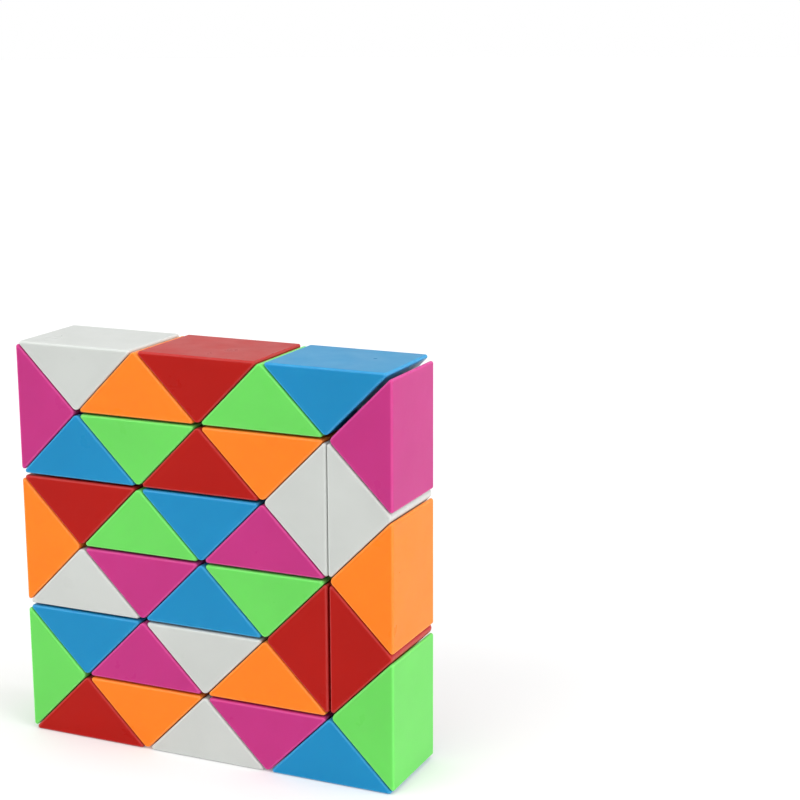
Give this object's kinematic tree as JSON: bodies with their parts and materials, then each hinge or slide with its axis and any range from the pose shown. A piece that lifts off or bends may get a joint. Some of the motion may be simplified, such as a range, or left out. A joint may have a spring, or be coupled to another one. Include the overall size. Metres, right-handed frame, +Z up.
{
  "type": "folding snake puzzle",
  "caption": "Chain of hollow plastic wedges in repeating colours, swivelling on each other's square faces, folded flat into a square block.",
  "frame": {"origin": "middle of the block's lower side, on the surface it stands on", "axes": "+Z up the folded block, -Y out of the front triangles, +X to the right seen from the front"},
  "size_m": [0.0844, 0.02, 0.0844],
  "materials": {
    "blue_plastic": "satin moulded ABS, lightly polished",
    "green_plastic": "satin moulded ABS, lightly polished",
    "red_plastic": "satin moulded ABS, lightly polished",
    "orange_plastic": "satin moulded ABS, lightly polished",
    "white_plastic": "satin moulded ABS, lightly polished",
    "magenta_plastic": "satin moulded ABS, lightly polished",
    "bolt_steel": "plain zinc-plated steel"
  },
  "bodies": {
    "wedge_01": {"wedge_01_blue": "blue_plastic"},
    "wedge_02": {"wedge_02_green": "green_plastic", "spring_bolt_01": "bolt_steel"},
    "wedge_03": {"wedge_03_red": "red_plastic", "spring_bolt_02": "bolt_steel"},
    "wedge_04": {"wedge_04_orange": "orange_plastic", "spring_bolt_03": "bolt_steel"},
    "wedge_05": {"wedge_05_white": "white_plastic", "spring_bolt_04": "bolt_steel"},
    "wedge_06": {"wedge_06_magenta": "magenta_plastic"},
    "wedge_07": {"wedge_07_blue": "blue_plastic"},
    "wedge_08": {"wedge_08_green": "green_plastic", "spring_bolt_07": "bolt_steel"},
    "wedge_09": {"wedge_09_red": "red_plastic", "spring_bolt_08": "bolt_steel"},
    "wedge_10": {"wedge_10_orange": "orange_plastic", "spring_bolt_09": "bolt_steel"},
    "wedge_11": {"wedge_11_white": "white_plastic"},
    "wedge_12": {"wedge_12_magenta": "magenta_plastic"},
    "wedge_13": {"wedge_13_blue": "blue_plastic", "spring_bolt_12": "bolt_steel"},
    "wedge_14": {"wedge_14_green": "green_plastic", "spring_bolt_13": "bolt_steel"},
    "wedge_15": {"wedge_15_red": "red_plastic", "spring_bolt_14": "bolt_steel"},
    "wedge_16": {"wedge_16_orange": "orange_plastic"},
    "wedge_17": {"wedge_17_white": "white_plastic"},
    "wedge_18": {"wedge_18_magenta": "magenta_plastic", "spring_bolt_17": "bolt_steel"},
    "wedge_19": {"wedge_19_blue": "blue_plastic", "spring_bolt_18": "bolt_steel"},
    "wedge_20": {"wedge_20_green": "green_plastic", "spring_bolt_19": "bolt_steel"},
    "wedge_21": {"wedge_21_red": "red_plastic"},
    "wedge_22": {"wedge_22_orange": "orange_plastic"},
    "wedge_23": {"wedge_23_white": "white_plastic", "spring_bolt_22": "bolt_steel"},
    "wedge_24": {"wedge_24_magenta": "magenta_plastic", "spring_bolt_23": "bolt_steel"},
    "wedge_25": {"wedge_25_blue": "blue_plastic", "spring_bolt_24": "bolt_steel"},
    "wedge_26": {"wedge_26_green": "green_plastic"},
    "wedge_27": {"wedge_27_red": "red_plastic"},
    "wedge_28": {"wedge_28_orange": "orange_plastic", "spring_bolt_27": "bolt_steel"},
    "wedge_29": {"wedge_29_white": "white_plastic", "spring_bolt_28": "bolt_steel"},
    "wedge_30": {"wedge_30_magenta": "magenta_plastic", "spring_bolt_29": "bolt_steel"},
    "wedge_31": {"wedge_31_blue": "blue_plastic", "spring_bolt_30": "bolt_steel"},
    "wedge_32": {"wedge_32_green": "green_plastic"},
    "wedge_33": {"wedge_33_red": "red_plastic", "spring_bolt_32": "bolt_steel"},
    "wedge_34": {"wedge_34_orange": "orange_plastic", "spring_bolt_33": "bolt_steel"},
    "wedge_35": {"wedge_35_white": "white_plastic", "spring_bolt_34": "bolt_steel"},
    "wedge_36": {"wedge_36_magenta": "magenta_plastic", "spring_bolt_35": "bolt_steel"}
  },
  "joints": [
    {"name": "swivel_28", "type": "hinge", "parent": "wedge_29", "child": "wedge_28", "pos_m": [-0.00707, 0, 0.00685], "axis": [-0.7071, 0, 0.7071], "range_deg": [-7.5, 7.5]},
    {"name": "swivel_27", "type": "hinge", "parent": "wedge_28", "child": "wedge_27", "pos_m": [-0.02121, 0, 0.00685], "axis": [-0.7071, 0, -0.7071], "continuous": true},
    {"name": "swivel_26", "type": "hinge", "parent": "wedge_27", "child": "wedge_26", "pos_m": [-0.03536, 0, 0.00685], "axis": [-0.7071, 0, 0.7071], "continuous": true},
    {"name": "swivel_25", "type": "hinge", "parent": "wedge_26", "child": "wedge_25", "pos_m": [-0.03536, 0, 0.02099], "axis": [0.7071, 0, 0.7071], "continuous": true},
    {"name": "swivel_24", "type": "hinge", "parent": "wedge_25", "child": "wedge_24", "pos_m": [-0.02121, 0, 0.02099], "axis": [0.7071, 0, -0.7071], "continuous": true},
    {"name": "swivel_23", "type": "hinge", "parent": "wedge_24", "child": "wedge_23", "pos_m": [-0.00707, 0, 0.02099], "axis": [0.7071, 0, 0.7071], "continuous": true},
    {"name": "swivel_22", "type": "hinge", "parent": "wedge_23", "child": "wedge_22", "pos_m": [0.00707, 0, 0.02099], "axis": [0.7071, 0, -0.7071], "continuous": true},
    {"name": "swivel_21", "type": "hinge", "parent": "wedge_22", "child": "wedge_21", "pos_m": [0.02121, 0, 0.02099], "axis": [0.7071, 0, 0.7071], "continuous": true},
    {"name": "swivel_20", "type": "hinge", "parent": "wedge_21", "child": "wedge_20", "pos_m": [0.02121, 0, 0.03513], "axis": [-0.7071, 0, 0.7071], "continuous": true},
    {"name": "swivel_19", "type": "hinge", "parent": "wedge_20", "child": "wedge_19", "pos_m": [0.00707, 0, 0.03513], "axis": [-0.7071, 0, -0.7071], "continuous": true},
    {"name": "swivel_18", "type": "hinge", "parent": "wedge_19", "child": "wedge_18", "pos_m": [-0.00707, 0, 0.03513], "axis": [-0.7071, 0, 0.7071], "continuous": true},
    {"name": "swivel_17", "type": "hinge", "parent": "wedge_18", "child": "wedge_17", "pos_m": [-0.02121, 0, 0.03513], "axis": [-0.7071, 0, -0.7071], "continuous": true},
    {"name": "swivel_16", "type": "hinge", "parent": "wedge_17", "child": "wedge_16", "pos_m": [-0.03536, 0, 0.03513], "axis": [-0.7071, 0, 0.7071], "continuous": true},
    {"name": "swivel_15", "type": "hinge", "parent": "wedge_16", "child": "wedge_15", "pos_m": [-0.03536, 0, 0.04927], "axis": [0.7071, 0, 0.7071], "continuous": true},
    {"name": "swivel_14", "type": "hinge", "parent": "wedge_15", "child": "wedge_14", "pos_m": [-0.02121, 0, 0.04927], "axis": [0.7071, 0, -0.7071], "continuous": true},
    {"name": "swivel_13", "type": "hinge", "parent": "wedge_14", "child": "wedge_13", "pos_m": [-0.00707, 0, 0.04927], "axis": [0.7071, 0, 0.7071], "continuous": true},
    {"name": "swivel_12", "type": "hinge", "parent": "wedge_13", "child": "wedge_12", "pos_m": [0.00707, 0, 0.04927], "axis": [0.7071, 0, -0.7071], "continuous": true},
    {"name": "swivel_11", "type": "hinge", "parent": "wedge_12", "child": "wedge_11", "pos_m": [0.02121, 0, 0.04927], "axis": [0.7071, 0, 0.7071], "continuous": true},
    {"name": "swivel_10", "type": "hinge", "parent": "wedge_11", "child": "wedge_10", "pos_m": [0.02121, 0, 0.06341], "axis": [-0.7071, 0, 0.7071], "continuous": true},
    {"name": "swivel_09", "type": "hinge", "parent": "wedge_10", "child": "wedge_09", "pos_m": [0.00707, 0, 0.06341], "axis": [-0.7071, 0, -0.7071], "continuous": true},
    {"name": "swivel_08", "type": "hinge", "parent": "wedge_09", "child": "wedge_08", "pos_m": [-0.00707, 0, 0.06341], "axis": [-0.7071, 0, 0.7071], "continuous": true},
    {"name": "swivel_07", "type": "hinge", "parent": "wedge_08", "child": "wedge_07", "pos_m": [-0.02121, 0, 0.06341], "axis": [-0.7071, 0, -0.7071], "continuous": true},
    {"name": "swivel_06", "type": "hinge", "parent": "wedge_07", "child": "wedge_06", "pos_m": [-0.03536, 0, 0.06341], "axis": [-0.7071, 0, 0.7071], "continuous": true},
    {"name": "swivel_05", "type": "hinge", "parent": "wedge_06", "child": "wedge_05", "pos_m": [-0.03536, 0, 0.07756], "axis": [0.7071, 0, 0.7071], "continuous": true},
    {"name": "swivel_04", "type": "hinge", "parent": "wedge_05", "child": "wedge_04", "pos_m": [-0.02121, 0, 0.07756], "axis": [0.7071, 0, -0.7071], "continuous": true},
    {"name": "swivel_03", "type": "hinge", "parent": "wedge_04", "child": "wedge_03", "pos_m": [-0.00707, 0, 0.07756], "axis": [0.7071, 0, 0.7071], "continuous": true},
    {"name": "swivel_02", "type": "hinge", "parent": "wedge_03", "child": "wedge_02", "pos_m": [0.00707, 0, 0.07756], "axis": [0.7071, 0, -0.7071], "continuous": true},
    {"name": "swivel_01", "type": "hinge", "parent": "wedge_02", "child": "wedge_01", "pos_m": [0.02121, 0, 0.07756], "axis": [0.7071, 0, 0.7071], "continuous": true},
    {"name": "swivel_29", "type": "hinge", "parent": "wedge_29", "child": "wedge_30", "pos_m": [0.00707, 0, 0.00685], "axis": [0.7071, 0, 0.7071], "continuous": true},
    {"name": "swivel_30", "type": "hinge", "parent": "wedge_30", "child": "wedge_31", "pos_m": [0.02121, 0, 0.00685], "axis": [0.7071, 0, -0.7071], "continuous": true},
    {"name": "swivel_31", "type": "hinge", "parent": "wedge_31", "child": "wedge_32", "pos_m": [0.03536, 0, 0.00685], "axis": [0.7071, 0, 0.7071], "continuous": true},
    {"name": "swivel_32", "type": "hinge", "parent": "wedge_32", "child": "wedge_33", "pos_m": [0.03536, 0, 0.02099], "axis": [-0.7071, 0, 0.7071], "continuous": true},
    {"name": "swivel_33", "type": "hinge", "parent": "wedge_33", "child": "wedge_34", "pos_m": [0.03536, 0, 0.03513], "axis": [0.7071, 0, 0.7071], "continuous": true},
    {"name": "swivel_34", "type": "hinge", "parent": "wedge_34", "child": "wedge_35", "pos_m": [0.03536, 0, 0.04927], "axis": [-0.7071, 0, 0.7071], "continuous": true},
    {"name": "swivel_35", "type": "hinge", "parent": "wedge_35", "child": "wedge_36", "pos_m": [0.03536, 0, 0.06341], "axis": [0.7071, 0, 0.7071], "continuous": true}
  ],
  "couplings": [
    {"joint": "swivel_01", "follows": "swivel_28", "ratio": 0.889},
    {"joint": "swivel_02", "follows": "swivel_28", "ratio": -2.337},
    {"joint": "swivel_03", "follows": "swivel_28", "ratio": 0.479},
    {"joint": "swivel_04", "follows": "swivel_28", "ratio": -0.949},
    {"joint": "swivel_05", "follows": "swivel_28", "ratio": 1.766},
    {"joint": "swivel_06", "follows": "swivel_28", "ratio": 1.648},
    {"joint": "swivel_07", "follows": "swivel_28", "ratio": -0.582},
    {"joint": "swivel_08", "follows": "swivel_28", "ratio": 0.04},
    {"joint": "swivel_09", "follows": "swivel_28", "ratio": 0.522},
    {"joint": "swivel_10", "follows": "swivel_28", "ratio": -1.759},
    {"joint": "swivel_11", "follows": "swivel_28", "ratio": -1.844},
    {"joint": "swivel_12", "follows": "swivel_28", "ratio": 0.814},
    {"joint": "swivel_13", "follows": "swivel_28", "ratio": 0.864},
    {"joint": "swivel_14", "follows": "swivel_28", "ratio": 0.901},
    {"joint": "swivel_15", "follows": "swivel_28", "ratio": -0.627},
    {"joint": "swivel_16", "follows": "swivel_28", "ratio": 0.837},
    {"joint": "swivel_17", "follows": "swivel_28", "ratio": -0.254},
    {"joint": "swivel_18", "follows": "swivel_28", "ratio": 1.068},
    {"joint": "swivel_19", "follows": "swivel_28", "ratio": 0.659},
    {"joint": "swivel_20", "follows": "swivel_28", "ratio": -1.804},
    {"joint": "swivel_21", "follows": "swivel_28", "ratio": -1.81},
    {"joint": "swivel_22", "follows": "swivel_28", "ratio": 0.683},
    {"joint": "swivel_23", "follows": "swivel_28", "ratio": -0.398},
    {"joint": "swivel_24", "follows": "swivel_28", "ratio": -0.435},
    {"joint": "swivel_25", "follows": "swivel_28", "ratio": 0.932},
    {"joint": "swivel_26", "follows": "swivel_28", "ratio": 1.391},
    {"joint": "swivel_27", "follows": "swivel_28", "ratio": -0.91},
    {"joint": "swivel_29", "follows": "swivel_28", "ratio": -0.631},
    {"joint": "swivel_30", "follows": "swivel_28", "ratio": 0.429},
    {"joint": "swivel_31", "follows": "swivel_28", "ratio": -0.268},
    {"joint": "swivel_32", "follows": "swivel_28", "ratio": 0.491},
    {"joint": "swivel_33", "follows": "swivel_28", "ratio": 0.018},
    {"joint": "swivel_34", "follows": "swivel_28", "ratio": 0.596},
    {"joint": "swivel_35", "follows": "swivel_28", "ratio": -2.234}
  ]
}
